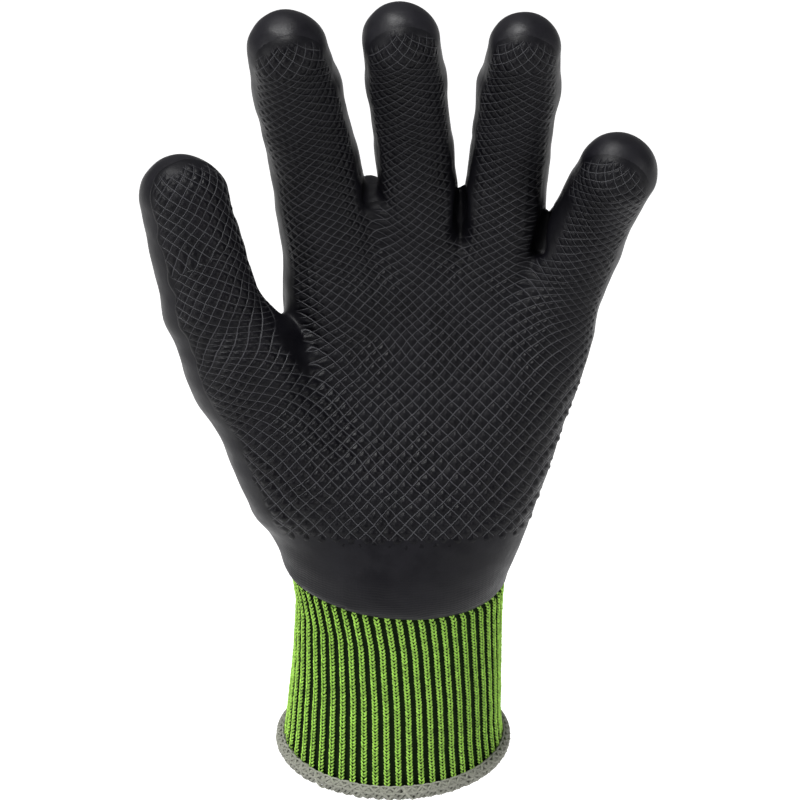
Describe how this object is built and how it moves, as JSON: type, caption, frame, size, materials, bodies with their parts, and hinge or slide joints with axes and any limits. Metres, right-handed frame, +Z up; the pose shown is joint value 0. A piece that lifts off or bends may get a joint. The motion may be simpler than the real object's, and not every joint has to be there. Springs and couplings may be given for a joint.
{
  "type": "latex coated grip glove",
  "caption": "Work glove for a left hand, shown worn: black dipped latex hand with a netted grip palm, green rib-knit cuff and grey overlocked hem.",
  "frame": {"origin": "middle of the wrist opening, half way up the hem's thickness", "axes": "+Z up the wrist toward the fingers, -Y the way the palm faces, -X toward the thumb"},
  "size_m": [0.1535, 0.0873, 0.2426],
  "materials": {
    "latex": "satin black dipped latex, faint knit rows under it",
    "grip_latex": "satin black latex embossed with a fine net of ridges",
    "green_knit": "matt green ribbed knit",
    "grey_thread": "matt grey overlock thread"
  },
  "bodies": {
    "root": {"latex_base_coat": "latex", "grip_coat": "grip_latex", "rib_cuff": "green_knit", "hem_overlock": "grey_thread"}
  },
  "joints": []
}
